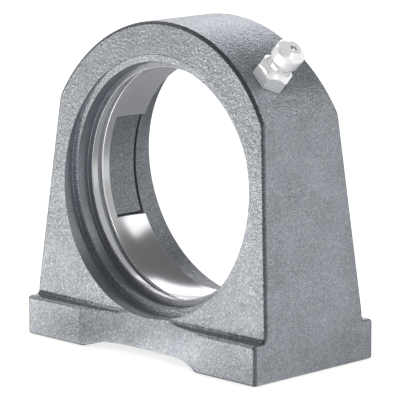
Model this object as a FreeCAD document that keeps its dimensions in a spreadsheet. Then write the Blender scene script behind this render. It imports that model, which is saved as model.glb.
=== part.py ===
import FreeCAD, Part
import math
import os
import Sketcher

# Empty cast bearing housing with a tapped base, and the grease nipple on its arch.
# X runs along the base, Y from the front face to the rear face, Z up.
# The origin is in the middle of the underside of the base. All lengths are in millimetres.

Vector = FreeCAD.Vector
DOCUMENT = FreeCAD.newDocument("BearingHousing")
ORIGIN = (-1, 1)
ALONG = -1
UPRIGHT = -2
BODY_FACE = "(Sizes.base_depth / 2 - Sizes.body_setback)"

# Driving sizes: name, value, what it sets
SIZES = [
    ("base_length", 70.0, "base along X"),
    ("base_depth", 36.0, "base along Y, over the feet"),
    ("centre_height", 36.5, "bore axis above the underside"),
    ("arch_radius", 35.0, "arch, about the bore axis"),
    ("foot_height", 8.6, "top of the feet above the underside"),
    ("side_land", 9.8, "height of the upright part of the sides"),
    ("side_blend", 20.0, "radius between the upright and the sloping part of a side"),
    ("shoulder_inset", 4.05, "where a side meets the arch, inside the arch's full half width"),
    ("shoulder_round", 3.0, "radius where a side meets the arch"),
    ("body_setback", 2.4, "body's faces behind the fronts of the feet, at the underside"),
    ("face_draft", 4.5, "slope of the front and rear faces, degrees"),
    ("foot_length", 16.7, "flat front of one foot along X"),
    ("foot_slant", 13.5, "slope of the foot's inner flank in plan, degrees"),
    ("relief_height", 1.5, "depth of the hollow under the base"),
    ("relief_length", 24.4, "flat roof of that hollow along X"),
    ("relief_end", 5.1, "length of each sloping end of that hollow"),
    ("ledge_round", 1.0, "fillet where the body rises from a foot"),
    ("foot_round", 0.7, "fillet on the upper edges of the feet"),
    ("edge_round", 0.75, "fillet on the outline of the front and rear faces"),
    ("base_round", 0.5, "fillet on the lower edges of the feet"),
    ("mouth_radius", 28.0, "front mouth"),
    ("mouth_floor", 10.5, "floor of the front mouth, ahead of the middle plane"),
    ("cover_radius", 26.4, "recess behind the front mouth"),
    ("seat_front", 7.4, "front end of the seat, ahead of the middle plane"),
    ("seat_radius", 26.0, "spherical seat"),
    ("seat_rear", 6.5, "rear end of the seat, behind the middle plane"),
    ("rear_floor", 7.4, "floor of the rear mouth, behind the middle plane"),
    ("rear_radius", 27.75, "rear mouth"),
    ("groove_plane", 4.3, "middle of the grease groove, ahead of the middle plane"),
    ("groove_width", 1.3, "grease groove along Y"),
    ("groove_depth", 0.4, "grease groove below the seat"),
    ("slot_height", 22.2, "loading slots along Z"),
    ("slot_radius", 27.1, "floor of the loading slots"),
    ("slot_front", 1.2, "closed end of the loading slots, ahead of the middle plane"),
    ("bolt_spacing", 50.8, "tapped holes along X"),
    ("tap_drill", 8.5, "tapping size of the M10 holes"),
    ("tap_depth", 18.0, "full depth of the tapped holes"),
    ("tap_mouth", 10.4, "countersink at the mouth of a tapped hole"),
    ("tap_flare", 90.0, "full angle of that countersink, degrees"),
    ("drill_angle", 118.0, "point of the drills, degrees"),
    ("nipple_plane", 3.2, "nipple and its port, ahead of the middle plane"),
    ("nipple_angle", 45.0, "nipple from upright, degrees"),
    ("spot_depth", 0.25, "spot face cut into the arch under the nipple"),
    ("spot_diameter", 8.4, "spot face"),
    ("nipple_thread", 6.0, "thread of the nipple"),
    ("thread_gap", 0.05, "radial room round the nipple's thread"),
    ("port_depth", 6.3, "tapped port below the spot face"),
    ("port_bore", 3.0, "grease way from the port to the groove"),
    ("shank_length", 5.5, "threaded shank of the nipple"),
    ("shank_lead", 0.5, "chamfer at the end of the shank"),
    ("hexagon_width", 7.0, "hexagon across flats"),
    ("hexagon_height", 4.0, "hexagon along the nipple"),
    ("hexagon_crown", 6.0, "diameter where the hexagon's chamfer starts"),
    ("neck_diameter", 4.9, "neck between hexagon and head"),
    ("neck_top", 5.3, "top of the neck above the spot face"),
    ("head_diameter", 6.5, "head of the nipple"),
    ("head_low", 6.4, "lower end of the head's full diameter"),
    ("head_high", 8.5, "upper end of the head's full diameter"),
    ("head_shoulder", 1.2, "radius of the head's shoulder"),
    ("nipple_height", 10.1, "top of the head above the spot face"),
    ("crown_diameter", 3.4, "flat top of the head"),
    ("ball_diameter", 2.4, "check ball"),
    ("ball_gap", 0.03, "room between the ball and its seat"),
    ("bore_gap", 0.1, "radial room round the ball in the nipple's bore"),
    ("inlet_diameter", 1.5, "hole in the top of the head"),
    ("inlet_depth", 0.3, "length of that hole"),
    ("spring_floor", 2.0, "shoulder that carries the spring"),
    ("outlet_diameter", 1.6, "grease way below that shoulder"),
    ("spring_wire", 0.3, "wire of the spring"),
    ("spring_width", 2.1, "outside diameter of the spring"),
    ("spring_turns", 5.0, "turns of the spring"),
    ("spring_gap", 0.02, "room at each end of the spring"),
    ("overcut", 2.0, "reach of a cut past the surface it opens"),
]
VALUE = {name: value for name, value, meaning in SIZES}


def fill_sheet():
    sheet = DOCUMENT.addObject("Spreadsheet::Sheet", "Sizes")
    for row, (name, value, meaning) in enumerate(SIZES, start=1):
        sheet.set("A%d" % row, meaning)
        sheet.set("B%d" % row, str(value))
        sheet.setAlias("B%d" % row, name)
    DOCUMENT.recompute()


def cell(name):
    return "Sizes." + name


def degrees(name):
    return "Sizes.%s * 1 deg" % name


# Helpers for sketches

def new_body(label):
    body = DOCUMENT.addObject("PartDesign::Body", label)
    body.Label = label
    return body


def new_sketch(body, name, role):
    sketch = body.newObject("Sketcher::SketchObject", name)
    plane = [item for item in body.Origin.OriginFeatures if item.Role == role][0]
    sketch.AttachmentSupport = [(plane, "")]
    sketch.MapMode = "FlatFace"
    return sketch


def tie(sketch, expression, *constraint):
    # Adds a dimension to the sketch and binds it to the sheet.
    index = sketch.addConstraint(Sketcher.Constraint(*constraint))
    sketch.setExpression("Constraints[%d]" % index, expression)


def hold(sketch, *constraint):
    sketch.addConstraint(Sketcher.Constraint(*constraint))


def touch_point(centre, radius, outside):
    # Where a straight line from an outside point touches a circle, on the circle's clockwise side.
    away = (outside[0] - centre[0], outside[1] - centre[1])
    bearing = math.atan2(away[1], away[0]) - math.acos(radius / math.hypot(*away))
    return (centre[0] + radius * math.cos(bearing), centre[1] + radius * math.sin(bearing))


def draw_loop(sketch, points, arcs=None):
    # Closed loop through the points. arcs gives, for a side that is round, its centre and whether it
    # runs anticlockwise. Returns for each side its number and which end is its start and its finish.
    arcs = arcs or {}
    sides = []
    for number, start in enumerate(points):
        finish = points[(number + 1) % len(points)]
        a = Vector(start[0], start[1], 0)
        b = Vector(finish[0], finish[1], 0)
        if number in arcs:
            (cx, cy), anticlockwise = arcs[number]
            centre = Vector(cx, cy, 0)
            first, last = (a, b) if anticlockwise else (b, a)
            begin = math.atan2(first.y - cy, first.x - cx)
            end = math.atan2(last.y - cy, last.x - cx)
            if end <= begin:
                end += 2 * math.pi
            circle = Part.Circle(centre, Vector(0, 0, 1), (a - centre).Length)
            index = sketch.addGeometry(Part.ArcOfCircle(circle, begin, end), False)
            sides.append((index, 1, 2) if anticlockwise else (index, 2, 1))
        else:
            sides.append((sketch.addGeometry(Part.LineSegment(a, b), False), 1, 2))
    return sides


def join(sketch, sides, smooth=()):
    # Closes the loop: smooth corners are tangent, all others only meet.
    for number, (side, start, finish) in enumerate(sides):
        following = (number + 1) % len(sides)
        kind = "Tangent" if number in smooth else "Coincident"
        hold(sketch, kind, side, finish, *start_of(sides, following))


def start_of(sides, number):
    return sides[number][0], sides[number][1]


def level_sides(sketch, sides, level=(), upright=()):
    for number in level:
        hold(sketch, "Horizontal", sides[number][0])
    for number in upright:
        hold(sketch, "Vertical", sides[number][0])


def add_feature(body, kind, name, sketch=None):
    feature = body.newObject("PartDesign::" + kind, name)
    if sketch is not None:
        feature.Profile = sketch
        sketch.Visibility = False
    return feature


def settle(feature, grows=None):
    # Recomputes, and checks that the feature added or removed material as meant.
    DOCUMENT.recompute()
    if "Invalid" in feature.State or "Error" in feature.State or feature.Shape.isNull():
        raise RuntimeError("feature %s failed" % feature.Name)
    if grows is not None and feature.BaseFeature is not None:
        change = feature.Shape.Volume - feature.BaseFeature.Shape.Volume
        if (change > 0) != grows:
            raise RuntimeError("feature %s changed the volume by %.4f" % (feature.Name, change))
    return feature


# Edges are picked by the faces on their two sides

def middle_normal(face):
    u0, u1, v0, v1 = face.ParameterRange
    return face.normalAt((u0 + u1) / 2, (v0 + v1) / 2)


def is_level_at(face, height):
    box = face.BoundBox
    return box.ZLength < 1e-4 and abs(box.ZMin - height) < 1e-4


def is_across(face):
    # A face that runs straight along Y and isn't level: sides, shoulders and arch.
    u0, u1, v0, v1 = face.ParameterRange
    for share_u in (0.2, 0.8):
        for share_v in (0.2, 0.8):
            normal = face.normalAt(u0 + share_u * (u1 - u0), v0 + share_v * (v1 - v0))
            if abs(normal.y) > 1e-5:
                return False
    return face.BoundBox.ZMax > VALUE["foot_height"] + 0.01 and not is_level_at(face, VALUE["foot_height"])


def pick_edges(shape, test):
    names = []
    for number, edge in enumerate(shape.Edges, start=1):
        faces = shape.ancestorsOfType(edge, Part.Face)
        if len(faces) == 2 and test(edge, faces[0], faces[1]):
            names.append("Edge%d" % number)
    return names


def round_edges(body, name, test, radius_name):
    base = body.Tip
    names = pick_edges(base.Shape, test)
    fillet = body.newObject("PartDesign::Fillet", name)
    fillet.Base = (base, names)
    fillet.Radius = VALUE[radius_name]
    fillet.setExpression("Radius", cell(radius_name))
    return settle(fillet)


def is_shoulder(edge, one, other):
    box = edge.BoundBox
    straight = box.XLength < 1e-4 and box.ZLength < 1e-4
    return straight and is_across(one) and is_across(other) and is_sharp(edge, one, other)


def is_sharp(edge, one, other):
    # True where the two faces don't run smoothly into each other.
    point = edge.valueAt((edge.FirstParameter + edge.LastParameter) / 2)
    normals = []
    for face in (one, other):
        u, v = face.Surface.parameter(point)
        normals.append(face.normalAt(u, v))
    return math.degrees(normals[0].getAngle(normals[1])) > 2.0


def is_ledge(edge, one, other):
    foot = VALUE["foot_height"]
    for level, face in ((one, other), (other, one)):
        if is_level_at(level, foot) and face.BoundBox.ZMax > foot + 1 and abs(middle_normal(face).y) > 0.5:
            return True
    return False


def is_foot_top(edge, one, other):
    foot = VALUE["foot_height"]
    for level, face in ((one, other), (other, one)):
        if is_level_at(level, foot) and face.BoundBox.ZMax < foot + 0.01 and abs(middle_normal(face).y) > 0.5:
            return True
    return False


def is_face_outline(edge, one, other):
    return is_across(one) != is_across(other) and edge.BoundBox.ZMax > 0.01


def is_foot_base(edge, one, other):
    for level, face in ((one, other), (other, one)):
        upright = abs(middle_normal(face).z) < 0.5
        if is_level_at(level, 0.0) and upright:
            return True
    return False


# The casting

def outline_sketch(body):
    # Right half of the front view: base line, upright land, blend, sloping side, arch, middle line.
    sketch = new_sketch(body, "OutlineSketch", "XZ_Plane")
    half = VALUE["base_length"] / 2
    land = VALUE["side_land"]
    blend = VALUE["side_blend"]
    height = VALUE["centre_height"]
    radius = VALUE["arch_radius"]
    shoulder = radius - VALUE["shoulder_inset"]
    blend_centre = (half - blend, land)
    high = (shoulder, height + math.sqrt(radius ** 2 - shoulder ** 2))
    # The side runs from the shoulder down to where it touches the blend's arc.
    low = touch_point(blend_centre, blend, high)
    points = [(0, 0), (half, 0), (half, land), low, high, (0, height + radius)]
    arcs = {2: (blend_centre, True), 4: ((0, height), True)}
    sides = draw_loop(sketch, points, arcs)
    join(sketch, sides, smooth=(1, 2))
    level_sides(sketch, sides, level=(0,), upright=(1, 5))
    hold(sketch, "Coincident", *start_of(sides, 0), *ORIGIN)
    hold(sketch, "PointOnObject", sides[4][0], 3, UPRIGHT)
    tie(sketch, cell("base_length") + " / 2", "DistanceX", sides[0][0], 1, sides[0][0], 2, half)
    tie(sketch, cell("side_land"), "DistanceY", sides[1][0], 1, sides[1][0], 2, land)
    tie(sketch, cell("side_blend"), "Radius", sides[2][0], blend)
    tie(sketch, "%s - %s" % (cell("arch_radius"), cell("shoulder_inset")),
        "DistanceX", *ORIGIN, *start_of(sides, 4), shoulder)
    tie(sketch, cell("centre_height"), "DistanceY", *ORIGIN, sides[4][0], 3, height)
    tie(sketch, cell("arch_radius"), "Radius", sides[4][0], radius)
    return sketch


def foot_sketch(body):
    # Right half of the base in plan: a foot whose inner flanks run into the body.
    sketch = new_sketch(body, "FootSketch", "XY_Plane")
    half = VALUE["base_length"] / 2
    deep = VALUE["base_depth"] / 2
    length = VALUE["foot_length"]
    slant = math.radians(VALUE["foot_slant"])
    inner = deep - (half - length) * math.tan(slant)
    points = [(0, -inner), (half - length, -deep), (half, -deep),
              (half, deep), (half - length, deep), (0, inner)]
    sides = draw_loop(sketch, points)
    join(sketch, sides)
    level_sides(sketch, sides, level=(1,))
    for ahead, behind in ((0, 5), (1, 4), (2, 3)):
        hold(sketch, "Symmetric", *start_of(sides, ahead), *start_of(sides, behind), ALONG)
    hold(sketch, "PointOnObject", *start_of(sides, 0), UPRIGHT)
    tie(sketch, cell("base_depth"), "DistanceY", sides[2][0], 1, sides[2][0], 2, 2 * deep)
    tie(sketch, cell("base_length") + " / 2", "DistanceX", *ORIGIN, *start_of(sides, 3), half)
    tie(sketch, cell("foot_length"), "DistanceX", sides[1][0], 1, sides[1][0], 2, length)
    tie(sketch, "0 deg - " + degrees("foot_slant"), "Angle", sides[0][0], -slant)
    return sketch


def face_sketch(body):
    # Side view of what the two drafted faces leave out, one wedge ahead and one behind.
    sketch = new_sketch(body, "FaceSketch", "YZ_Plane")
    near = VALUE["base_depth"] / 2 - VALUE["body_setback"]
    draft = math.radians(VALUE["face_draft"])
    top = VALUE["centre_height"] + VALUE["arch_radius"] + VALUE["overcut"]
    far = VALUE["base_depth"] / 2 + VALUE["overcut"]
    for way in (-1, 1):
        lean = near - top * math.tan(draft)
        points = [(way * near, 0), (way * lean, top), (way * far, top), (way * far, 0)]
        sides = draw_loop(sketch, points)
        join(sketch, sides)
        level_sides(sketch, sides, level=(1, 3), upright=(2,))
        hold(sketch, "PointOnObject", *start_of(sides, 0), ALONG)
        near_point = start_of(sides, 0)
        far_point = start_of(sides, 3)
        ends = (near_point, ORIGIN) if way < 0 else (ORIGIN, near_point)
        tie(sketch, BODY_FACE, "DistanceX", *ends[0], *ends[1], near)
        ends = (far_point, ORIGIN) if way < 0 else (ORIGIN, far_point)
        tie(sketch, "%s / 2 + %s" % (cell("base_depth"), cell("overcut")),
            "DistanceX", *ends[0], *ends[1], far)
        tie(sketch, "90 deg %s %s" % ("-" if way < 0 else "+", degrees("face_draft")),
            "Angle", sides[0][0], math.pi / 2 + way * draft)
        tie(sketch, "%s + %s + %s" % (cell("centre_height"), cell("arch_radius"), cell("overcut")),
            "DistanceY", sides[2][0], 2, sides[2][0], 1, top)
    return sketch


def relief_sketch(body):
    # Shallow hollow under the base, so that only the two feet touch.
    sketch = new_sketch(body, "ReliefSketch", "XZ_Plane")
    roof = VALUE["relief_length"] / 2
    run = VALUE["relief_end"]
    high = VALUE["relief_height"]
    sides = draw_loop(sketch, [(-roof - run, 0), (roof + run, 0), (roof, high), (-roof, high)])
    join(sketch, sides)
    hold(sketch, "Symmetric", *start_of(sides, 0), *start_of(sides, 1), UPRIGHT)
    hold(sketch, "Symmetric", *start_of(sides, 3), *start_of(sides, 2), UPRIGHT)
    hold(sketch, "PointOnObject", *start_of(sides, 0), ALONG)
    tie(sketch, cell("relief_length"), "DistanceX", *start_of(sides, 3), *start_of(sides, 2), 2 * roof)
    tie(sketch, cell("relief_end"), "DistanceX", *start_of(sides, 2), *start_of(sides, 1), run)
    tie(sketch, cell("relief_height"), "DistanceY", *start_of(sides, 1), *start_of(sides, 2), high)
    return sketch


def bore_sketch(body):
    # Half section of the bore along Y. Its own base line is the bore axis.
    sketch = new_sketch(body, "BoreSketch", "YZ_Plane")
    sketch.setExpression("AttachmentOffset.Base.y", cell("centre_height"))
    end = VALUE["base_depth"] / 2
    seat = VALUE["seat_radius"]
    groove = VALUE["groove_plane"]
    half_width = VALUE["groove_width"] / 2
    groove_radius = seat + VALUE["groove_depth"]

    def on_seat(y):
        return (y, math.sqrt(seat ** 2 - y ** 2))

    points = [
        (-end, 0),
        (-end, VALUE["mouth_radius"]),
        (-VALUE["mouth_floor"], VALUE["mouth_radius"]),
        (-VALUE["mouth_floor"], VALUE["cover_radius"]),
        (-VALUE["seat_front"], VALUE["cover_radius"]),
        on_seat(-VALUE["seat_front"]),
        on_seat(-groove - half_width),
        (-groove - half_width, groove_radius),
        (-groove + half_width, groove_radius),
        on_seat(-groove + half_width),
        on_seat(VALUE["seat_rear"]),
        (VALUE["rear_floor"], VALUE["rear_radius"]),
        (end, VALUE["rear_radius"]),
        (end, 0),
    ]
    arcs = {5: ((0, 0), False), 9: ((0, 0), False)}
    sides = draw_loop(sketch, points, arcs)
    join(sketch, sides)
    level_sides(sketch, sides, level=(1, 3, 7, 11), upright=(0, 2, 4, 6, 8, 12))
    hold(sketch, "PointOnObject", *start_of(sides, 0), ALONG)
    hold(sketch, "PointOnObject", *start_of(sides, 13), ALONG)
    for arc in (5, 9):
        hold(sketch, "Coincident", sides[arc][0], 3, *ORIGIN)
        tie(sketch, cell("seat_radius"), "Radius", sides[arc][0], seat)

    def ahead(name, corner):
        tie(sketch, name, "DistanceX", *start_of(sides, corner), *ORIGIN, -points[corner][0])

    def behind(name, corner):
        tie(sketch, name, "DistanceX", *ORIGIN, *start_of(sides, corner), points[corner][0])

    def radial(name, corner):
        tie(sketch, name, "DistanceY", *ORIGIN, *start_of(sides, corner), points[corner][1])

    ahead(cell("base_depth") + " / 2", 0)
    radial(cell("mouth_radius"), 1)
    ahead(cell("mouth_floor"), 2)
    radial(cell("cover_radius"), 3)
    ahead(cell("seat_front"), 4)
    ahead("%s + %s / 2" % (cell("groove_plane"), cell("groove_width")), 6)
    radial("%s + %s" % (cell("seat_radius"), cell("groove_depth")), 7)
    ahead("%s - %s / 2" % (cell("groove_plane"), cell("groove_width")), 8)
    behind(cell("seat_rear"), 10)
    behind(cell("rear_floor"), 11)
    radial(cell("rear_radius"), 11)
    behind(cell("base_depth") + " / 2", 12)
    return sketch


def slot_sketch(body):
    # Both loading slots in one band across the bore, drawn on their closed end.
    sketch = new_sketch(body, "SlotSketch", "XZ_Plane")
    sketch.setExpression("AttachmentOffset.Base.y", cell("centre_height"))
    sketch.setExpression("AttachmentOffset.Base.z", cell("slot_front"))
    radius = VALUE["slot_radius"]
    up = VALUE["slot_height"] / 2
    across = math.sqrt(radius ** 2 - up ** 2)
    points = [(-across, -up), (across, -up), (across, up), (-across, up)]
    sides = draw_loop(sketch, points, {1: ((0, 0), True), 3: ((0, 0), True)})
    join(sketch, sides)
    level_sides(sketch, sides, level=(0, 2))
    for arc in (1, 3):
        hold(sketch, "Coincident", sides[arc][0], 3, *ORIGIN)
        tie(sketch, cell("slot_radius"), "Radius", sides[arc][0], radius)
    tie(sketch, cell("slot_height") + " / 2", "DistanceY", *start_of(sides, 1), *ORIGIN, up)
    tie(sketch, cell("slot_height") + " / 2", "DistanceY", *ORIGIN, *start_of(sides, 2), up)
    return sketch


def bolt_sketch(body):
    sketch = new_sketch(body, "BoltSketch", "XY_Plane")
    reach = VALUE["bolt_spacing"] / 2
    for way in (-1, 1):
        circle = Part.Circle(Vector(way * reach, 0, 0), Vector(0, 0, 1), VALUE["tap_drill"] / 2)
        index = sketch.addGeometry(circle, False)
        hold(sketch, "PointOnObject", index, 3, ALONG)
        ends = ((index, 3), ORIGIN) if way < 0 else (ORIGIN, (index, 3))
        tie(sketch, cell("bolt_spacing") + " / 2", "DistanceX", *ends[0], *ends[1], reach)
        tie(sketch, cell("tap_drill") + " / 2", "Radius", index, VALUE["tap_drill"] / 2)
    return sketch


def port_sketch(body):
    # Half section of the nipple's port, turned to the nipple's axis: its upright line is that axis
    # and its heights are measured from the bore axis. Its grease way opens into the grease groove.
    sketch = new_sketch(body, "PortSketch", "XZ_Plane")
    sketch.AttachmentOffset = FreeCAD.Placement(
        Vector(0, VALUE["centre_height"], VALUE["nipple_plane"]),
        FreeCAD.Rotation(Vector(0, 0, -1), VALUE["nipple_angle"]))
    sketch.setExpression("AttachmentOffset.Base.y", cell("centre_height"))
    sketch.setExpression("AttachmentOffset.Base.z", cell("nipple_plane"))
    sketch.setExpression("AttachmentOffset.Rotation.Angle", degrees("nipple_angle"))
    face = VALUE["arch_radius"] - VALUE["spot_depth"]
    floor = face - VALUE["port_depth"]
    tapped = VALUE["nipple_thread"] / 2 + VALUE["thread_gap"]
    way = VALUE["port_bore"] / 2
    spot = VALUE["spot_diameter"] / 2
    half_point = math.radians(VALUE["drill_angle"] / 2)
    point_drop = (tapped - way) / math.tan(half_point)
    inner = VALUE["seat_radius"] - VALUE["overcut"]
    outer = VALUE["arch_radius"] + VALUE["overcut"]
    points = [(0, inner), (way, inner), (way, floor - point_drop), (tapped, floor),
              (tapped, face), (spot, face), (spot, outer), (0, outer)]
    sides = draw_loop(sketch, points)
    join(sketch, sides)
    level_sides(sketch, sides, level=(0, 4, 6), upright=(1, 3, 5, 7))
    hold(sketch, "PointOnObject", *start_of(sides, 0), UPRIGHT)

    def height(name, corner):
        tie(sketch, name, "DistanceY", *ORIGIN, *start_of(sides, corner), points[corner][1])

    def radial(name, corner):
        tie(sketch, name, "DistanceX", *ORIGIN, *start_of(sides, corner), points[corner][0])

    seat_level = "%s - %s" % (cell("arch_radius"), cell("spot_depth"))
    height("%s - %s" % (cell("seat_radius"), cell("overcut")), 0)
    radial(cell("port_bore") + " / 2", 1)
    radial("%s / 2 + %s" % (cell("nipple_thread"), cell("thread_gap")), 3)
    height("%s - %s" % (seat_level, cell("port_depth")), 3)
    tie(sketch, "90 deg - %s / 2" % degrees("drill_angle"), "Angle", sides[2][0], math.pi / 2 - half_point)
    height(seat_level, 4)
    radial(cell("spot_diameter") + " / 2", 5)
    height("%s + %s" % (cell("arch_radius"), cell("overcut")), 6)
    return sketch


def build_housing():
    body = new_body("housing")
    outline = add_feature(body, "Pad", "OutlinePad", outline_sketch(body))
    outline.SideType = "Symmetric"
    outline.setExpression("Length", cell("base_depth"))
    settle(outline)
    faces = add_feature(body, "Pocket", "FacePocket", face_sketch(body))
    faces.SideType = "Symmetric"
    faces.setExpression("Length", "%s + %s" % (cell("base_length"), cell("arch_radius")))
    settle(faces, grows=False)
    feet = add_feature(body, "Pad", "FootPad", foot_sketch(body))
    feet.setExpression("Length", cell("foot_height"))
    settle(feet, grows=True)
    whole = body.newObject("PartDesign::Mirrored", "WholeCasting")
    whole.TransformMode = "Whole shape"
    mirror_plane = [item for item in body.Origin.OriginFeatures if item.Role == "YZ_Plane"][0]
    whole.MirrorPlane = (mirror_plane, [""])
    body.Tip = whole
    settle(whole)
    relief = add_feature(body, "Pocket", "ReliefPocket", relief_sketch(body))
    relief.SideType = "Symmetric"
    relief.setExpression("Length", "%s + %s" % (cell("base_depth"), cell("overcut")))
    settle(relief, grows=False)
    round_edges(body, "ShoulderFillet", is_shoulder, "shoulder_round")
    round_edges(body, "LedgeFillet", is_ledge, "ledge_round")
    round_edges(body, "FootFillet", is_foot_top, "foot_round")
    round_edges(body, "OutlineFillet", is_face_outline, "edge_round")
    round_edges(body, "BaseFillet", is_foot_base, "base_round")
    profile = bore_sketch(body)
    bore = add_feature(body, "Groove", "BoreGroove", profile)
    bore.ReferenceAxis = (profile, ["H_Axis"])
    bore.Angle = 360
    settle(bore, grows=False)
    slots = add_feature(body, "Pocket", "SlotPocket", slot_sketch(body))
    slots.Type = "ThroughAll"
    settle(slots, grows=False)
    bolts = add_feature(body, "Hole", "TappedHoles", bolt_sketch(body))
    DOCUMENT.recompute()
    bolts.Reversed = True
    bolts.DepthType = "Dimension"
    bolts.DrillPoint = "Angled"
    bolts.HoleCutType = "Countersink"
    bolts.HoleCutCustomValues = True
    bolts.setExpression("HoleCutCountersinkAngle", degrees("tap_flare"))
    bolts.setExpression("Diameter", cell("tap_drill"))
    bolts.setExpression("Depth", cell("tap_depth"))
    bolts.setExpression("DrillPointAngle", degrees("drill_angle"))
    bolts.setExpression("HoleCutDiameter", cell("tap_mouth"))
    settle(bolts, grows=False)
    turn_profile(body, "Groove", "NipplePort", port_sketch(body))
    return body


# The grease nipple. It is drawn upright on the spot face and then turned onto the arch.

NIPPLE_SEAT = "(Sizes.arch_radius - Sizes.spot_depth)"


def set_on_arch(part, height_name=None, height=0.0):
    # Places a part on the nipple's axis, at a height above the spot face.
    angle = math.radians(VALUE["nipple_angle"])
    reach = VALUE["arch_radius"] - VALUE["spot_depth"] + height
    upright = VALUE["centre_height"] + reach * math.cos(angle)
    part.Placement = FreeCAD.Placement(
        Vector(reach * math.sin(angle), -VALUE["nipple_plane"], upright),
        FreeCAD.Rotation(Vector(0, 1, 0), VALUE["nipple_angle"]))
    distance = NIPPLE_SEAT if height_name is None else "(%s + %s)" % (NIPPLE_SEAT, height_name)
    turn = degrees("nipple_angle")
    part.setExpression("Placement.Base.x", "%s * sin(%s)" % (distance, turn))
    part.setExpression("Placement.Base.y", "0 - " + cell("nipple_plane"))
    part.setExpression("Placement.Base.z", "%s + %s * cos(%s)" % (cell("centre_height"), distance, turn))
    part.setExpression("Placement.Rotation.Angle", turn)


def hexagon_sketch(body):
    # Regular hexagon with two flats facing along Y.
    sketch = new_sketch(body, "HexagonSketch", "XY_Plane")
    corner = VALUE["hexagon_width"] / math.sqrt(3)
    points = [(corner * math.cos(k * math.pi / 3), corner * math.sin(k * math.pi / 3)) for k in range(6)]
    sides = draw_loop(sketch, points)
    join(sketch, sides)
    circle = sketch.addGeometry(Part.Circle(Vector(0, 0, 0), Vector(0, 0, 1), corner), True)
    hold(sketch, "Coincident", circle, 3, *ORIGIN)
    for side, start, finish in sides:
        hold(sketch, "PointOnObject", side, start, circle)
    for number in range(5):
        hold(sketch, "Equal", sides[number][0], sides[number + 1][0])
    hold(sketch, "PointOnObject", *start_of(sides, 0), ALONG)
    tie(sketch, cell("hexagon_width") + " / sqrt(3)", "Radius", circle, corner)
    return sketch


def chamfer_sketch(body):
    # Triangle that, turned round the nipple, bevels the hexagon's upper corners.
    sketch = new_sketch(body, "ChamferSketch", "XZ_Plane")
    crown = VALUE["hexagon_crown"] / 2
    top = VALUE["hexagon_height"]
    reach = VALUE["hexagon_width"] / 2
    points = [(crown, top), (crown + reach, top - reach), (crown + reach, top)]
    sides = draw_loop(sketch, points)
    join(sketch, sides)
    level_sides(sketch, sides, level=(2,), upright=(1,))
    tie(sketch, cell("hexagon_crown") + " / 2", "DistanceX", *ORIGIN, *start_of(sides, 0), crown)
    tie(sketch, cell("hexagon_height"), "DistanceY", *ORIGIN, *start_of(sides, 0), top)
    tie(sketch, cell("hexagon_width") + " / 2", "DistanceX", *start_of(sides, 0), *start_of(sides, 2), reach)
    tie(sketch, cell("hexagon_width") + " / 2", "DistanceY", *start_of(sides, 1), *start_of(sides, 2), reach)
    return sketch


def stem_sketch(body):
    # Half section of everything round on the outside: shank, neck and head.
    sketch = new_sketch(body, "StemSketch", "XZ_Plane")
    shank = VALUE["nipple_thread"] / 2
    lead = VALUE["shank_lead"]
    end = -VALUE["shank_length"]
    inside = VALUE["hexagon_height"] / 2
    neck = VALUE["neck_diameter"] / 2
    head = VALUE["head_diameter"] / 2
    top = VALUE["nipple_height"]
    crown = VALUE["crown_diameter"] / 2
    round_radius = VALUE["head_shoulder"]
    centre = (head - round_radius, VALUE["head_high"])
    touch = touch_point(centre, round_radius, (crown, top))
    points = [(0, end), (shank - lead, end), (shank, end + lead), (shank, inside), (neck, inside),
              (neck, VALUE["neck_top"]), (head, VALUE["head_low"]), (head, VALUE["head_high"]),
              touch, (crown, top), (0, top)]
    sides = draw_loop(sketch, points, {7: (centre, True)})
    join(sketch, sides, smooth=(6, 7))
    level_sides(sketch, sides, level=(0, 3, 9), upright=(2, 4, 6, 10))
    hold(sketch, "PointOnObject", *start_of(sides, 0), UPRIGHT)

    def height(name, corner):
        tie(sketch, name, "DistanceY", *ORIGIN, *start_of(sides, corner), points[corner][1])

    def radial(name, corner):
        tie(sketch, name, "DistanceX", *ORIGIN, *start_of(sides, corner), points[corner][0])

    tie(sketch, cell("shank_length"), "DistanceY", *start_of(sides, 0), *ORIGIN, -end)
    radial("%s / 2 - %s" % (cell("nipple_thread"), cell("shank_lead")), 1)
    radial(cell("nipple_thread") + " / 2", 2)
    tie(sketch, cell("shank_lead"), "DistanceY", *start_of(sides, 1), *start_of(sides, 2), lead)
    height(cell("hexagon_height") + " / 2", 3)
    radial(cell("neck_diameter") + " / 2", 4)
    height(cell("neck_top"), 5)
    radial(cell("head_diameter") + " / 2", 6)
    height(cell("head_low"), 6)
    height(cell("head_high"), 7)
    tie(sketch, cell("head_shoulder"), "Radius", sides[7][0], round_radius)
    radial(cell("crown_diameter") + " / 2", 9)
    height(cell("nipple_height"), 9)
    return sketch


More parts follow.
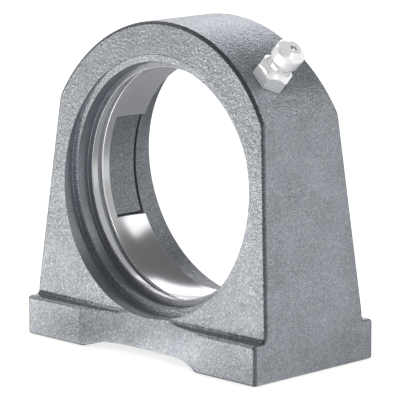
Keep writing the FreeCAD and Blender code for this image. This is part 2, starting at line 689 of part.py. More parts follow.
def duct_sketch(body):
    # Half section of the hole through the nipple: inlet, seat cone, ball chamber, shoulder, outlet.
    sketch = new_sketch(body, "DuctSketch", "XZ_Plane")
    inlet = VALUE["inlet_diameter"] / 2
    chamber = VALUE["ball_diameter"] / 2 + VALUE["bore_gap"]
    outlet = VALUE["outlet_diameter"] / 2
    above = VALUE["nipple_height"] + VALUE["overcut"]
    lip = VALUE["nipple_height"] - VALUE["inlet_depth"]
    cone = lip - (chamber - inlet)
    floor = VALUE["spring_floor"]
    below = -VALUE["shank_length"] - VALUE["overcut"]
    points = [(0, below), (outlet, below), (outlet, floor), (chamber, floor), (chamber, cone),
              (inlet, lip), (inlet, above), (0, above)]
    sides = draw_loop(sketch, points)
    join(sketch, sides)
    level_sides(sketch, sides, level=(0, 2, 6), upright=(1, 3, 5, 7))
    hold(sketch, "PointOnObject", *start_of(sides, 0), UPRIGHT)
    tie(sketch, "%s + %s" % (cell("shank_length"), cell("overcut")),
        "DistanceY", *start_of(sides, 0), *ORIGIN, -below)
    tie(sketch, cell("outlet_diameter") + " / 2", "DistanceX", *ORIGIN, *start_of(sides, 1), outlet)
    tie(sketch, cell("spring_floor"), "DistanceY", *ORIGIN, *start_of(sides, 2), floor)
    tie(sketch, "%s / 2 + %s" % (cell("ball_diameter"), cell("bore_gap")),
        "DistanceX", *ORIGIN, *start_of(sides, 3), chamber)
    tie(sketch, "135 deg", "Angle", sides[4][0], 0.75 * math.pi)
    tie(sketch, cell("inlet_diameter") + " / 2", "DistanceX", *ORIGIN, *start_of(sides, 5), inlet)
    tie(sketch, "%s - %s" % (cell("nipple_height"), cell("inlet_depth")),
        "DistanceY", *ORIGIN, *start_of(sides, 5), lip)
    tie(sketch, "%s + %s" % (cell("nipple_height"), cell("overcut")),
        "DistanceY", *ORIGIN, *start_of(sides, 6), above)
    return sketch


def turn_profile(body, kind, name, sketch):
    # Full turn of a half section about its own upright line.
    feature = add_feature(body, kind, name, sketch)
    feature.ReferenceAxis = (sketch, ["V_Axis"])
    feature.Angle = 360
    return settle(feature, grows=kind == "Revolution")


def build_nipple_body():
    body = new_body("grease_nipple_body")
    hexagon = add_feature(body, "Pad", "HexagonPad", hexagon_sketch(body))
    hexagon.setExpression("Length", cell("hexagon_height"))
    settle(hexagon)
    turn_profile(body, "Groove", "HexagonChamfer", chamfer_sketch(body))
    turn_profile(body, "Revolution", "Stem", stem_sketch(body))
    turn_profile(body, "Groove", "Duct", duct_sketch(body))
    set_on_arch(body)
    return body


def ball_height():
    # The ball hangs its gap below the 45 degree cone that starts at the inlet.
    cone_tip = VALUE["nipple_height"] - VALUE["inlet_depth"] + VALUE["inlet_diameter"] / 2
    return cone_tip - (VALUE["ball_diameter"] / 2 + VALUE["ball_gap"]) * math.sqrt(2)


BALL_HEIGHT = ("(Sizes.nipple_height - Sizes.inlet_depth + Sizes.inlet_diameter / 2"
               " - (Sizes.ball_diameter / 2 + Sizes.ball_gap) * sqrt(2))")


def build_ball():
    ball = DOCUMENT.addObject("Part::Sphere", "nipple_ball")
    ball.Label = "nipple_ball"
    ball.Radius = VALUE["ball_diameter"] / 2
    ball.setExpression("Radius", cell("ball_diameter") + " / 2")
    set_on_arch(ball, BALL_HEIGHT, ball_height())
    return ball


def build_spring():
    # Wire wound from the shoulder in the nipple up to where it touches the ball.
    body = new_body("nipple_spring")
    sketch = new_sketch(body, "WireSketch", "XZ_Plane")
    wire = VALUE["spring_wire"] / 2
    coil = VALUE["spring_width"] / 2 - wire
    low = VALUE["spring_floor"] + VALUE["spring_gap"] + wire
    circle = sketch.addGeometry(Part.Circle(Vector(coil, low, 0), Vector(0, 0, 1), wire), False)
    tie(sketch, cell("spring_wire") + " / 2", "Radius", circle, wire)
    tie(sketch, "(%s - %s) / 2" % (cell("spring_width"), cell("spring_wire")),
        "DistanceX", *ORIGIN, circle, 3, coil)
    tie(sketch, "%s + %s + %s / 2" % (cell("spring_floor"), cell("spring_gap"), cell("spring_wire")),
        "DistanceY", *ORIGIN, circle, 3, low)
    helix = add_feature(body, "AdditiveHelix", "Coil", sketch)
    helix.ReferenceAxis = (sketch, ["V_Axis"])
    helix.Mode = "height-turns-angle"
    touching = "(Sizes.ball_diameter / 2 + Sizes.spring_wire / 2 + Sizes.spring_gap)"
    coil_radius = "((Sizes.spring_width - Sizes.spring_wire) / 2)"
    drop = "sqrt(%s ^ 2 - %s ^ 2)" % (touching, coil_radius)
    start = "(Sizes.spring_floor + Sizes.spring_gap + Sizes.spring_wire / 2)"
    helix.setExpression("Height", "%s - %s - %s" % (BALL_HEIGHT, drop, start))
    helix.setExpression("Turns", cell("spring_turns"))
    settle(helix)
    set_on_arch(body)
    return body


def write_parts(parts):
    os.makedirs("parts", exist_ok=True)
    DOCUMENT.recompute()
    for item in DOCUMENT.Objects:
        if "Invalid" in item.State or "Error" in item.State:
            raise RuntimeError("object %s is in error" % item.Name)
        if item.isDerivedFrom("Sketcher::SketchObject") and not item.FullyConstrained:
            raise RuntimeError("sketch %s is not fully held" % item.Name)
    for part in parts:
        if part.Shape.isNull() or not part.Shape.isValid() or len(part.Shape.Solids) != 1:
            raise RuntimeError("part %s is not one sound solid" % part.Label)
        part.Shape.exportStep("parts/%s.step" % part.Label)
        box = part.Shape.BoundBox
        print("%s: %.2f mm3, from (%.2f, %.2f, %.2f) to (%.2f, %.2f, %.2f)" % (
            part.Label, part.Shape.Volume, box.XMin, box.YMin, box.ZMin, box.XMax, box.YMax, box.ZMax))


fill_sheet()
write_parts([build_housing(), build_nipple_body(), build_ball(), build_spring()])
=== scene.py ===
import math

import bpy
from mathutils import Matrix, Vector


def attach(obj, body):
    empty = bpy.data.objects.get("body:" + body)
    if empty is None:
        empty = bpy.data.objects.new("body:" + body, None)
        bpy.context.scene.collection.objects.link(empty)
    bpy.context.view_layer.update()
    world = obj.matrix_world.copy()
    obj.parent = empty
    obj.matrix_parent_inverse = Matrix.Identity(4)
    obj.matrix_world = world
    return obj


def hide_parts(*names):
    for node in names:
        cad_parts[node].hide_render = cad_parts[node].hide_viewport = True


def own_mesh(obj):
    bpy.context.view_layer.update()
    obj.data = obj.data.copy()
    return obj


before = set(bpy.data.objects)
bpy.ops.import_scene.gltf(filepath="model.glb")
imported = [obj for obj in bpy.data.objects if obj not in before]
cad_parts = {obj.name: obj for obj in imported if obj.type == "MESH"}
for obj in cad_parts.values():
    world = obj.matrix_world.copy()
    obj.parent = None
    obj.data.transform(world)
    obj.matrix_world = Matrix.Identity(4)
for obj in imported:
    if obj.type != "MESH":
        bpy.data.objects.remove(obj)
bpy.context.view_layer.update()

# Sizes of the object in millimetres, the same as in the part's source
MM = 0.001
BORE_Z = 36.5
ARCH_RADIUS = 35.0
BODY_FACE = 15.6
MOUTH_RADIUS = 28.0
MOUTH_FLOOR = 10.5
SEAT_RADIUS = 26.0
GROOVE_FRONT = 4.95
GROOVE_REAR = 3.65
SLOT_FRONT = 1.2
SLOT_HEIGHT = 22.2
FOOT_HEIGHT = 8.6
BOLT_X = 25.4
TAP_RADIUS = 4.25
THREAD_RADIUS = 5.0
THREAD_PITCH = 1.5
TAP_MOUTH_RADIUS = 5.2
TAP_DEPTH = 18.0
TAP_RUNOUT = 2.0
SEAT_CENTRE = Vector((0, 0, BORE_Z))

# Where the grease nipple stands on the arch, and how far the edges round its port reach
NIPPLE_ANGLE = math.radians(45)
NIPPLE_PLANE = 3.2
SPOT_DEPTH = 0.25
NIPPLE_WAY = Vector((math.sin(NIPPLE_ANGLE), 0, math.cos(NIPPLE_ANGLE)))
PORT = Vector((0, -NIPPLE_PLANE, BORE_Z)) + (ARCH_RADIUS - SPOT_DEPTH) * NIPPLE_WAY
PORT_REACH = 4.6

# How far back the sharp edges are broken
PORT_BREAK = 0.03
CAST_BREAK = 0.32
MOUTH_BREAK = 0.1
TURNED_BREAK = 0.18
GROOVE_LIP = 0.38
GROOVE_CORNER = 0.08
NIPPLE_BREAK = 0.09

# What counts as the same place, and how little two normals differ within one smooth sheet
CLOSE = 0.02
PLACE_DIGITS = 4
SMOOTH_LIMIT = math.cos(math.radians(24))

# Numbers of the casting's finishes, in the order of its material slots
# The fourth finish is painted shade in the corners of the slots.
CAST, TURNED, ROUGH, SCALE, SEAT, BRIGHT = range(6)

# The band of painted shade at the rear of the slots: its ends along the bore, and how far it goes past
# the slots
SHADE_BAND_FRONT, SHADE_BAND_REAR, SHADE_BAND_SOFT = 7.15, 8.4, 0.1
SHADE_BAND_FULL, SHADE_BAND_END = 0.2, 0.4

# Where the painted shade on the rounded edges of the cast skin starts, and which parts of the feet have
# none
EDGE_START, EDGE_RISE = 0.15, 0.3
FOOT_MARGIN = 0.5
FOOT_END = 33.0
LEDGE_SLOPE = 0.3

# What a mirror sees of the studio: bright walls, a dim ceiling, and a dim room in front of the object.
# The height of a direction, or how closely it follows ROOM_WAY, says how dim it is: fully dim from the
# DIM value up, and not at all below the CLEAR value.
ROOM_WAY = (-0.1, -0.99, 0.1)
ROOM_DIM, ROOM_CLEAR = 0.95, 0.5
CEILING_DIM, CEILING_CLEAR = 0.62, 0.38
ROOM_LEVEL = 0.22
WALL_LEVEL = 0.75
AMBIENT = 1.05
AMBIENT_TINT = (0.97, 0.98, 1.0)

# The pale floor: its size and place in metres, its tone, and the white that the camera sees
FLOOR_SIZE = 6.0
FLOOR_LEVEL = -0.0002
FLOOR_TONE = (0.38, 0.38, 0.38)
FLOOR_TINT = (1.0, 0.99, 0.978)
BACKDROP_GLOW = 0.74

# Soft round patches that a mirror sees on the floor, in millimetres: centre, radii where the soft edge
# starts and ends, and the light added inside and outside
REAR_SHADE = ((-30.0, 80.0, 0.0), 50.0, 130.0, 0.0, 0.57)
LEFT_LIGHT = ((-85.0, -95.0, 0.0), 80.0, 160.0, 0.92, 0.0)
FLANK_SHADE = ((-25.5, -42.0, 0.0), 14.0, 26.0, -1.3, 0.0)
FLANK_LIGHT = ((-1.0, -23.0, 0.0), 5.0, 15.0, 1.0, 0.0)

# The camera, solved from the outline of the object in the photograph; its place in millimetres
CAMERA_PLACE = Vector((427.486, -421.741, 143.5))
CAMERA_FORWARD = Vector((-0.699044, 0.691404, -0.182475))
CAMERA_UP = Vector((-0.127327, 0.130753, 0.983205))
CAMERA_LENS, CAMERA_SENSOR = 255.66, 36.0


# Node helpers

class Nodes:
    """Short names for the nodes of one tree."""

    def __init__(self, tree):
        self.tree = tree

    def feed(self, socket, value):
        # Sets an input to a number, a colour or a vector, or links it to another node's output.
        if isinstance(value, (int, float)):
            socket.default_value = value
        elif isinstance(value, tuple):
            socket.default_value = (*value, 1.0)[:len(socket.default_value)]
        else:
            self.tree.links.new(value, socket)

    def node(self, kind, inputs=None, **settings):
        made = self.tree.nodes.new("ShaderNode" + kind)
        for name, value in settings.items():
            setattr(made, name, value)
        for key, value in (inputs or {}).items():
            self.feed(made.inputs[key], value)
        return made

    def math(self, operation, *values):
        return self.node("Math", dict(enumerate(values)), operation=operation).outputs[0]

    def vector_math(self, operation, first, second):
        return self.node("VectorMath", {0: first, 1: second}, operation=operation).outputs["Value"]

    def ramp(self, source, low, high, at_low=0.0, at_high=1.0, shape="LINEAR"):
        # Runs from one value to another while the source runs from low to high, and stays level beyond.
        inputs = {"Value": source, "From Min": low, "From Max": high, "To Min": at_low, "To Max": at_high}
        return self.node("MapRange", inputs, interpolation_type=shape).outputs["Result"]

    def split(self, vector):
        return self.node("SeparateXYZ", {0: vector}).outputs

    def ray(self, *kinds):
        # 1 where a ray of one of these kinds looks straight at the surface.
        path = self.node("LightPath")
        share = path.outputs["Is %s Ray" % kinds[0]]
        for kind in kinds[1:]:
            share = self.math("MAXIMUM", share, path.outputs["Is %s Ray" % kind])
        return share


class Material(Nodes):
    """A node material under construction; its places and sizes are in millimetres."""

    def __init__(self, name):
        self.material = bpy.data.materials.new(name)
        self.material.use_nodes = True
        super().__init__(self.material.node_tree)
        self.shader = self.tree.nodes["Principled BSDF"]
        metres = self.node("TexCoord").outputs["Object"]
        self.place = self.node("VectorMath", {0: metres, "Scale": 1.0 / MM}, operation="SCALE").outputs[0]

    def set(self, **values):
        for name, value in values.items():
            self.feed(self.shader.inputs[name.replace("_", " ")], value)

    def noise(self, size, detail=2.0, roughness=0.5, place=None):
        # Noise whose features are about this many millimetres across.
        inputs = {"Vector": place or self.place, "Scale": 1.0 / size}
        inputs.update({"Detail": detail, "Roughness": roughness})
        return self.node("TexNoise", inputs).outputs["Fac"]

    def flecks(self, size):
        # Cells about this many millimetres across, each with a chance brightness of its own.
        cells = self.node("TexVoronoi", {"Vector": self.place, "Scale": 1.0 / size})
        return self.node("SeparateColor", {0: cells.outputs["Color"]}).outputs[0]

    def attribute(self, name):
        return self.node("Attribute", attribute_name=name).outputs["Fac"]

    def mix(self, share, first, second):
        made = self.node("Mix", data_type="RGBA")
        for name, value in (("Factor", share), ("A", first), ("B", second)):
            socket = [each for each in made.inputs if each.name == name and each.enabled][0]
            self.feed(socket, value)
        return [each for each in made.outputs if each.enabled][0]

    def bump(self, source, height, under=None):
        # Bump whose full swing is this many millimetres.
        inputs = {"Height": source, "Distance": height * MM, "Strength": 1.0}
        if under is not None:
            inputs["Normal"] = under
        return self.node("Bump", inputs).outputs["Normal"]

    def band(self, source, start, end, soft):
        # 1 between two values, with soft ends.
        rise = self.ramp(source, start, start + soft)
        fall = self.ramp(source, end, end - soft)
        return self.math("MULTIPLY", rise, fall)

    def turned_place(self):
        # Coordinates that run across the tool marks, and hardly change round the bore axis.
        x, y, z = self.split(self.place)
        rise = self.math("SUBTRACT", z, BORE_Z)
        square = self.math("ADD", self.math("MULTIPLY", x, x), self.math("MULTIPLY", rise, rise))
        radius = self.math("SQRT", square)
        turn = self.math("ARCTAN2", rise, x)
        return self.node("CombineXYZ", {0: radius, 1: y, 2: turn}).outputs[0]


# Finishes

def cast_material():
    # Blasted cast skin: cloudy grey, finely sparkling, with painted shade on the rounded outer edges in
    # place of their dark reflections.
    deep, pale = (0.229, 0.248, 0.271), (0.296, 0.318, 0.347)
    sparkle = (0.62, 0.655, 0.69)
    # Colour of the painted shade on the rounded outer edges.
    painted_edge_shade_tone = (0.07, 0.075, 0.085)
    made = Material("cast_iron_grey")
    grain = made.noise(0.3, 2.0, 0.6)
    lumps = made.noise(0.7, 2.0, 0.6)
    cloud = made.noise(8.0, 4.0, 0.6)
    tone = made.mix(made.ramp(cloud, 0.35, 0.65), deep, pale)
    flecks = made.flecks(0.22)
    tone = made.mix(made.ramp(flecks, 0.35, 1.0, 0.0, 0.42), tone, sparkle)
    uneven = made.ramp(lumps, 0.3, 0.7, -0.3, 0.3)
    # Painted shade: the rounds along the outline are darkened unevenly in the colour, where they would
    # reflect something dark.
    dark = made.ramp(made.math("ADD", made.attribute("edge"), uneven), 0.1, 0.8, 0.0, 0.8)
    tone = made.mix(dark, tone, painted_edge_shade_tone)
    roughness = made.ramp(flecks, 0.2, 1.0, 0.36, 0.22)
    relief = made.bump(grain, 0.08, made.bump(lumps, 0.13))
    made.set(Base_Color=tone, Roughness=roughness, Metallic=0.9, Normal=relief)
    return made.material


def turned_material():
    # The rough-turned steps of the mouth.
    deep, pale = (0.228, 0.242, 0.266), (0.258, 0.272, 0.296)
    torn = (0.36, 0.378, 0.4)
    made = Material("rough_turned_iron")
    grain = made.noise(0.45, 2.0, 0.6)
    rings = made.noise(0.3, 2.0, 0.5, made.turned_place())
    tone = made.mix(made.ramp(rings, 0.35, 0.65), deep, pale)
    tone = made.mix(made.ramp(grain, 0.42, 0.62, 0.0, 0.3), tone, torn)
    roughness = made.ramp(grain, 0.35, 0.65, 0.28, 0.4)
    relief = made.bump(rings, 0.012, made.bump(grain, 0.1))
    made.set(Base_Color=tone, Roughness=roughness, Metallic=0.9, Normal=relief)
    return made.material


def rough_material():
    # The cast floor of the slots and the rear of the bore, with a band of painted shade behind the slots.
    deep, pale = (0.155, 0.167, 0.183), (0.21, 0.225, 0.243)
    sparkle = (0.5, 0.53, 0.56)
    # Colour of the painted shade in the band behind the slots.
    painted_shade_tone = (0.02, 0.022, 0.025)
    made = Material("rough_bore_iron")
    grain = made.noise(0.45, 3.0, 0.6)
    tone = made.mix(made.ramp(grain, 0.35, 0.65), deep, pale)
    flecks = made.flecks(0.25)
    tone = made.mix(made.ramp(flecks, 0.4, 1.0, 0.0, 0.4), tone, sparkle)
    # Painted shade: a dark band along the rear of the slots, where the step hides the light.
    place = made.split(made.place)
    level = made.math("ABSOLUTE", made.math("SUBTRACT", place["Z"], BORE_Z))
    behind = made.band(place["Y"], SHADE_BAND_FRONT, SHADE_BAND_REAR, SHADE_BAND_SOFT)
    within = made.ramp(level, SLOT_HEIGHT / 2 + SHADE_BAND_END, SLOT_HEIGHT / 2 + SHADE_BAND_FULL)
    tone = made.mix(made.math("MULTIPLY", behind, within), tone, painted_shade_tone)
    roughness = made.ramp(grain, 0.35, 0.65, 0.14, 0.24)
    made.set(Base_Color=tone, Roughness=roughness, Metallic=0.9, Normal=made.bump(grain, 0.2))
    return made.material


def slot_corner_shade_material():
    # Painted shade in the corners of the loading slots.
    made = Material("painted_slot_corner_shade")
    grain = made.noise(0.4, 2.0, 0.6)
    tone = made.mix(made.ramp(grain, 0.35, 0.65), (0.02, 0.021, 0.024), (0.05, 0.053, 0.058))
    roughness = made.ramp(grain, 0.35, 0.65, 0.6, 0.8)
    made.set(Base_Color=tone, Roughness=roughness, Normal=made.bump(grain, 0.05))
    return made.material


def seat_material():
    # The seat, turned fine and bright.
    made = Material("polished_seat")
    rings = made.noise(0.2, 2.0, 0.5, made.turned_place())
    tone = made.mix(made.ramp(rings, 0.3, 0.7), (0.535, 0.542, 0.554), (0.567, 0.574, 0.586))
    roughness = made.ramp(rings, 0.3, 0.7, 0.19, 0.22)
    made.set(Base_Color=tone, Roughness=roughness, Metallic=1.0, Normal=made.bump(rings, 0.0006))
    return made.material


def bright_material():
    # The walls of the grease groove, cut last and still bright.
    made = Material("bright_cut_iron")
    rings = made.noise(0.2, 2.0, 0.5, made.turned_place())
    tone = made.mix(made.ramp(rings, 0.3, 0.7), (0.92, 0.92, 0.93), (0.97, 0.97, 0.98))
    roughness = made.ramp(rings, 0.3, 0.7, 0.16, 0.24)
    made.set(Base_Color=tone, Roughness=roughness, Metallic=1.0, Normal=made.bump(rings, 0.001))
    return made.material


def zinc_material():
    # Bright plating on the nipple, with its clear passivated skin.
    made = Material("bright_zinc")
    cloud = made.noise(1.2, 3.0, 0.5)
    tone = made.mix(made.ramp(cloud, 0.3, 0.7), (0.93, 0.93, 0.94), (0.98, 0.98, 0.98))
    roughness = made.ramp(cloud, 0.3, 0.7, 0.16, 0.24)
    relief = made.bump(made.noise(0.25), 0.004)
    made.set(Base_Color=tone, Roughness=roughness, Metallic=0.45, Normal=relief)
    made.set(Coat_Weight=0.8, Coat_Roughness=0.06)
    return made.material


def steel_material(name, low, high):
    # Drawn or ground bare steel, for the small parts inside the nipple.
    made = Material(name)
    cloud = made.noise(0.5, 3.0, 0.5)
    tone = made.mix(made.ramp(cloud, 0.3, 0.7), low, high)
    roughness = made.ramp(cloud, 0.3, 0.7, 0.18, 0.3)
    relief = made.bump(made.noise(0.15), 0.002)
    made.set(Base_Color=tone, Roughness=roughness, Metallic=1.0, Normal=relief)
    return made.material


# Shells made of smooth patches

class Shell:
    """Smooth patches that meet at doubled vertices, in millimetres; each vertex has its own normal."""

    def __init__(self, node):
        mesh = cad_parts[node].data
        self.points = [vertex.co / MM for vertex in mesh.vertices]
        self.normals = [Vector() for vertex in mesh.vertices]
        for loop, normal in zip(mesh.loops, mesh.corner_normals):
            self.normals[loop.vertex_index] = normal.vector.copy()
        self.faces = [tuple(face.vertices) for face in mesh.polygons]
        self.finish = [CAST] * len(self.faces)

    def patches(self):
        # Lists of face numbers, one for each patch of joined faces.
        leader = list(range(len(self.points)))

        def lead(index):
            while leader[index] != index:
                leader[index] = leader[leader[index]]
                index = leader[index]
            return index

        for face in self.faces:
            for vertex in face[1:]:
                leader[lead(vertex)] = lead(face[0])
        found = {}
        for number, face in enumerate(self.faces):
            found.setdefault(lead(face[0]), []).append(number)
        return list(found.values())

    def points_of(self, patch):
        return [self.points[vertex] for number in patch for vertex in self.faces[number]]

    def remove(self, patches):
        gone = {number for patch in patches for number in patch}
        kept = [number for number in range(len(self.faces)) if number not in gone]
        self.faces = [self.faces[number] for number in kept]
        self.finish = [self.finish[number] for number in kept]

    def add_grid(self, rows, normals, finish):
        # A sheet of quads through rows of points that close on themselves.
        first = len(self.points)
        wide = len(rows[0])
        for row, row_normals in zip(rows, normals):
            self.points.extend(row)
            self.normals.extend(row_normals)
        for low in range(len(rows) - 1):
            for step in range(wide):
                here = first + low * wide + step
                beside = first + low * wide + (step + 1) % wide
                self.faces.append((here, beside, beside + wide, here + wide))
                self.finish.append(finish)

    def sheets(self):
        # The vertices at each place, in groups whose normals nearly agree.
        places = {}
        keys = []
        for index, point in enumerate(self.points):
            key = tuple(round(value, PLACE_DIGITS) for value in point)
            keys.append(key)
            groups = places.setdefault(key, [])
            for group in groups:
                if self.normals[group[0]].dot(self.normals[index]) > SMOOTH_LIMIT:
                    group.append(index)
                    break
            else:
                groups.append([index])
        sheet = {}
        for key, groups in places.items():
            for number, group in enumerate(groups):
                for index in group:
                    sheet[index] = (key, number)
        return keys, sheet

    def break_edges(self, width_at, strip_finish=max):
        # Sets every sharp edge back by a small width and bridges the two sides.
        keys, sheet = self.sheets()
        sides = {}
        for number, face in enumerate(self.faces):
            for start, end in zip(face, face[1:] + face[:1]):
                sides[keys[start], keys[end]] = (start, end, number)
        inward = {}
        after = {}
        bridges = []
        for (key_start, key_end), (start, end, number) in sides.items():
            other = sides.get((key_end, key_start))
            if other is None or key_start == key_end:
                continue
            far_end, far_start, far_number = other
            if sheet[start] == sheet[far_start] and sheet[end] == sheet[far_end]:
                continue
            along = self.points[end] - self.points[start]
            for index in (start, end):
                inside = self.normals[index].cross(along).normalized()
                inward.setdefault(sheet[index], []).append(inside)
            after.setdefault(key_start, {})[sheet[far_start]] = sheet[start]
            if key_start < key_end:
                finish = strip_finish(self.finish[number], self.finish[far_number])
                bridges.append(((end, start, far_start, far_end), finish))
        self.set_back(sheet, inward, width_at)
        for bridge, finish in bridges:
            corners = []
            for index in bridge:
                if all(sheet[index] != sheet[kept] for kept in corners):
                    corners.append(index)
            if len(corners) > 2:
                self.faces.append(tuple(corners))
                self.finish.append(finish)
        self.close_corners(sheet, after)

    def set_back(self, sheet, inward, width_at, least=0.3):
        # Moves the vertices along a sharp edge into their own sheet, unless their ways nearly cancel out.
        shift = {}
        for key, ways in inward.items():
            total = sum(ways, Vector()) / len(ways)
            if total.length >= least:
                shift[key] = total / total.length_squared
        meeting = {}
        for place, number in inward:
            meeting[place] = meeting.get(place, 0) + 1
        for index, key in sheet.items():
            if key in shift and meeting[key[0]] > 1:
                self.points[index] = self.points[index] + shift[key] * width_at(self.points[index])

    def close_corners(self, sheet, after):
        # Fills the gap where three or more sheets met in one corner.
        member = {}
        for index, key in sheet.items():
            member.setdefault(key, index)
        for links in after.values():
            if len(links) < 3:
                continue
            start = next(iter(links))
            ring = [start]
            while links.get(ring[-1]) not in (None, start) and len(ring) < len(links):
                ring.append(links[ring[-1]])
            if len(ring) > 2:
                self.faces.append(tuple(member[key] for key in ring))
                self.finish.append(CAST)

    def build(self, name, materials, attributes=()):
        mesh = bpy.data.meshes.new(name)
        mesh.from_pydata([point * MM for point in self.points], [], self.faces)
        mesh.polygons.foreach_set("material_index", self.finish)
        mesh.polygons.foreach_set("use_smooth", [True] * len(self.faces))
        for title, value_at in attributes:
            layer = mesh.attributes.new(title, "FLOAT", "POINT")
            values = [value_at(point, normal) for point, normal in zip(self.points, self.normals)]
            layer.data.foreach_set("value", values)
        mesh.normals_split_custom_set_from_vertices([tuple(normal) for normal in self.normals])
        for material in materials:
            mesh.materials.append(material)
        piece = bpy.data.objects.new(name, mesh)
        bpy.context.scene.collection.objects.link(piece)
        return piece


# The casting

def bore_distance(point):
    return math.hypot(point.x, point.z - BORE_Z)


def casting_finish(points):
    # Which finish a whole patch of the casting has.
    if all(abs((point - SEAT_CENTRE).length - SEAT_RADIUS) < CLOSE for point in points):
        return SEAT
    if all(GROOVE_REAR - CLOSE < -point.y < GROOVE_FRONT + CLOSE for point in points):
        level = all(abs(point.y - points[0].y) < CLOSE for point in points)
        return BRIGHT if level else TURNED
    if any(bore_distance(point) > MOUTH_RADIUS + CLOSE for point in points):
        return CAST
    if all(abs(point.y + MOUTH_FLOOR) < CLOSE for point in points):
        return CAST
    if all(point.y > -SLOT_FRONT - CLOSE for point in points):
        return ROUGH
    return TURNED


def casting_break(point):
    # The bore has crisp machined edges, the outside softer ones.
    if (point - PORT).length < PORT_REACH:
        return PORT_BREAK
    if GROOVE_REAR - CLOSE < -point.y < GROOVE_FRONT + CLOSE:
        on_seat = abs((point - SEAT_CENTRE).length - SEAT_RADIUS) < CLOSE
        return GROOVE_LIP if on_seat else GROOVE_CORNER
    reach = bore_distance(point)
    if abs(reach - MOUTH_RADIUS) < CLOSE:
        return MOUTH_BREAK
    return CAST_BREAK if reach > MOUTH_RADIUS else TURNED_BREAK


def casting_strip(first, second):
    # Finish of a broken edge: painted shade in the corners of the slots, the first finish of the two
    # beside cast skin and between the floor and the walls of the groove, and the second one everywhere
    # else.
    low, high = sorted((first, second))
    if low == high == ROUGH:
        return SCALE
    if (low == CAST and high < SCALE) or (low == TURNED and high == BRIGHT):
        return low
    return high


def casting_painted_edge_shade(point, normal):
    # Share of painted shade: 1 on the rounds along the outline, but 0 at the mouth and on the ledges and
    # flanks of the feet.
    if bore_distance(point) < MOUTH_RADIUS + 2 * CAST_BREAK:
        return 0.0
    on_ledge = normal.z > LEDGE_SLOPE and abs(point.y) > BODY_FACE
    on_flank = normal.z > -LEDGE_SLOPE and abs(point.x) < FOOT_END
    if point.z < FOOT_HEIGHT + FOOT_MARGIN and (on_ledge or on_flank):
        return 0.0
    turn = min(math.hypot(normal.x, normal.z), abs(normal.y)) * math.sqrt(2)
    return min(1.0, max(0.0, (turn - EDGE_START) / EDGE_RISE))


def is_tap_wall(points):
    # The straight wall of a tapped hole and the cone at its mouth.
    side = BOLT_X if points[0].x > 0 else -BOLT_X
    reach = [math.hypot(point.x - side, point.y) for point in points]
    in_reach = all(TAP_RADIUS - CLOSE < value < TAP_MOUTH_RADIUS + CLOSE for value in reach)
    return in_reach and all(point.z < TAP_DEPTH + CLOSE for point in points)


def thread_rows(centre_x, turns_around=72, rows_per_pitch=12):
    # A right-hand inside thread that starts in the cone of the hole and runs out near the bottom.
    rows = []
    count = round(TAP_DEPTH / THREAD_PITCH * rows_per_pitch)
    for row in range(count + 1):
        height = TAP_DEPTH * row / count
        ring = []
        for step in range(turns_around):
            turn = 2 * math.pi * step / turns_around
            phase = (height / THREAD_PITCH - step / turns_around) % 1.0
            rise = 1 - abs(2 * phase - 1)
            fade = min(1.0, max(0.0, (TAP_DEPTH - height) / TAP_RUNOUT))
            radius = TAP_RADIUS + (THREAD_RADIUS - TAP_RADIUS) * rise * fade
            radius = max(radius, TAP_MOUTH_RADIUS - height)
            ring.append(Vector((centre_x + radius * math.cos(turn), radius * math.sin(turn), height)))
        rows.append(ring)
    return rows


def thread_normals(rows):
    # Normals that look into the hole, from the neighbours of each point.
    found = []
    for number, ring in enumerate(rows):
        low = rows[max(0, number - 1)]
        high = rows[min(len(rows) - 1, number + 1)]
        line = []
        for step in range(len(ring)):
            around = ring[(step + 1) % len(ring)] - ring[step - 1]
            line.append((high[step] - low[step]).cross(around).normalized())
        found.append(line)
    return found


def build_casting():
    # One mesh with a finish for each patch, its edges broken, and threads in the tapped holes.
    shell = Shell("housing")
    patches = shell.patches()
    for patch in patches:
        finish = casting_finish(shell.points_of(patch))
        for number in patch:
            shell.finish[number] = finish
    shell.break_edges(casting_break, casting_strip)
    shell.remove([patch for patch in patches if is_tap_wall(shell.points_of(patch))])
    for side in (-BOLT_X, BOLT_X):
        rows = thread_rows(side)
        shell.add_grid([ring[::-1] for ring in rows], [line[::-1] for line in thread_normals(rows)], CAST)
    materials = (cast_material(), turned_material(), rough_material(), slot_corner_shade_material(),
                 seat_material(), bright_material())
    # The edge attribute carries the share of painted shade on the rounded outer edges.
    piece = shell.build("casting", materials, [("edge", casting_painted_edge_shade)])
    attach(piece, "casting")
    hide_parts("housing")


# The grease nipple

def build_nipple():
    # The nipple with its edges lightly broken; its thread is hidden in the casting.
    shell = Shell("grease_nipple_body")
    shell.break_edges(lambda point: NIPPLE_BREAK)
    shell.finish = [0] * len(shell.faces)
    piece = shell.build("grease_nipple", [zinc_material()])
    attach(piece, "casting")
    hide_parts("grease_nipple_body")


def build_spring():
    # The coil in drawn steel; the ball squeezes it towards its floor, but here it keeps its modelled
    # shape.
    steel = steel_material("spring_steel", (0.42, 0.42, 0.44), (0.5, 0.5, 0.52))
    piece = Shell("nipple_spring").build("coil", [steel])
    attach(piece, "casting")
    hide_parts("nipple_spring")
    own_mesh(piece)


def dress_ball():
    # The ball is shown as it is modelled, in ground steel.
    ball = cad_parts["nipple_ball"]
    ball.data.materials.clear()
    ball.data.materials.append(steel_material("ball_steel", (0.72, 0.72, 0.74), (0.8, 0.8, 0.82)))


# Stage, light and camera

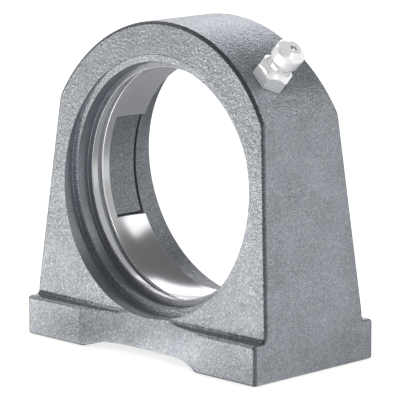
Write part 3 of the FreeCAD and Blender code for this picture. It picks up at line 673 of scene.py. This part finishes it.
def build_world():
    # Even light, white to the camera; a mirror sees bright walls, a dim ceiling and a dim room in front.
    world = bpy.data.worlds.new("studio")
    bpy.context.scene.world = world
    world.use_nodes = True
    made = Nodes(world.node_tree)
    way = made.node("TexCoord").outputs["Generated"]
    toward = made.vector_math("DOT_PRODUCT", way, ROOM_WAY)
    below = made.ramp(made.split(way)["Z"], CEILING_DIM, CEILING_CLEAR, shape="SMOOTHSTEP")
    beside = made.ramp(toward, ROOM_DIM, ROOM_CLEAR, shape="SMOOTHSTEP")
    level = made.ramp(made.math("MULTIPLY", below, beside), 0.0, 1.0, ROOM_LEVEL, WALL_LEVEL)
    seen = made.math("MAXIMUM", made.ray("Camera"), level)
    white = made.node("Background", {"Color": (1.0, 1.0, 1.0), "Strength": seen})
    light = made.tree.nodes["Background"]
    made.feed(light.inputs["Color"], AMBIENT_TINT)
    made.feed(light.inputs["Strength"], AMBIENT)
    share = made.ray("Camera", "Glossy", "Transmission")
    both = made.node("MixShader", {0: share, 1: light.outputs[0], 2: white.outputs[0]})
    made.feed(made.tree.nodes["World Output"].inputs["Surface"], both.outputs[0])


def floor_patch(made, centre, inner, outer, at_inner, at_outer):
    # A strength that changes softly between two distances from a place on the floor.
    away = made.vector_math("DISTANCE", made.place, centre)
    return made.ramp(away, inner, outer, at_inner, at_outer, shape="SMOOTHSTEP")


def build_floor():
    # A pale floor that the camera sees white, with the object's shadow on it.
    bpy.ops.mesh.primitive_plane_add(size=FLOOR_SIZE, location=(0, 0, FLOOR_LEVEL))
    floor = bpy.context.object
    floor.name = "floor"
    made = Material("pale_floor")
    patches = floor_patch(made, *REAR_SHADE)
    for patch in (LEFT_LIGHT, FLANK_SHADE, FLANK_LIGHT):
        patches = made.math("ADD", patches, floor_patch(made, *patch))
    mirrored = made.math("MULTIPLY", made.ray("Glossy", "Transmission"), patches)
    strength = made.math("MULTIPLY_ADD", made.ray("Camera"), BACKDROP_GLOW, mirrored)
    made.set(Base_Color=FLOOR_TONE, Roughness=0.9, Specular_IOR_Level=0.0)
    made.set(Emission_Color=FLOOR_TINT, Emission_Strength=strength)
    floor.data.materials.append(made.material)


def soft_lamp(name, turn, height, size, power, colour=(1.0, 1.0, 1.0), distance=1.0):
    # A soft box so many metres away; the turn is from the rear towards the right, both angles in degrees.
    data = bpy.data.lights.new(name, "AREA")
    data.shape = "RECTANGLE"
    data.size, data.size_y = size
    data.energy = power
    data.color = colour
    lamp = bpy.data.objects.new(name, data)
    bpy.context.scene.collection.objects.link(lamp)
    turn, height = math.radians(turn), math.radians(height)
    way = Vector((math.sin(turn) * math.cos(height), math.cos(turn) * math.cos(height), math.sin(height)))
    lamp.location = SEAT_CENTRE * MM + way * distance
    lamp.rotation_euler = (-way).to_track_quat("-Z", "Y").to_euler()


def build_lights():
    # Low warm lamps on the left and in front, and larger ones behind, on the right and above.
    warm, amber, cool = (1.0, 0.965, 0.915), (1.0, 0.92, 0.82), (0.98, 0.95, 1.0)
    soft_lamp("key", -108, 2, (0.3, 0.08), 0.25, warm)
    soft_lamp("low_front", -144, -5, (0.12, 0.04), 0.079, amber, 0.3)
    soft_lamp("rear_left", -40, 31, (0.5, 0.38), 1.15, cool)
    soft_lamp("rear_right", 62, 37, (0.74, 0.29), 1.2)
    soft_lamp("right", 98, 14, (0.3, 0.2), 0.85)
    soft_lamp("upper_left", -103, 42, (0.35, 0.3), 0.8)


def build_camera():
    forward = CAMERA_FORWARD.normalized()
    right = forward.cross(CAMERA_UP).normalized()
    up = right.cross(forward)
    data = bpy.data.cameras.new("camera")
    data.sensor_width = CAMERA_SENSOR
    data.lens = CAMERA_LENS
    data.clip_start = 0.01
    camera = bpy.data.objects.new("camera", data)
    bpy.context.scene.collection.objects.link(camera)
    turn = Matrix((right, up, -forward)).transposed().to_4x4()
    camera.matrix_world = Matrix.Translation(CAMERA_PLACE * MM) @ turn
    bpy.context.scene.camera = camera


build_casting()
build_nipple()
build_spring()
dress_ball()
build_world()
build_floor()
build_lights()
build_camera()
bpy.context.scene.view_settings.view_transform = "Standard"
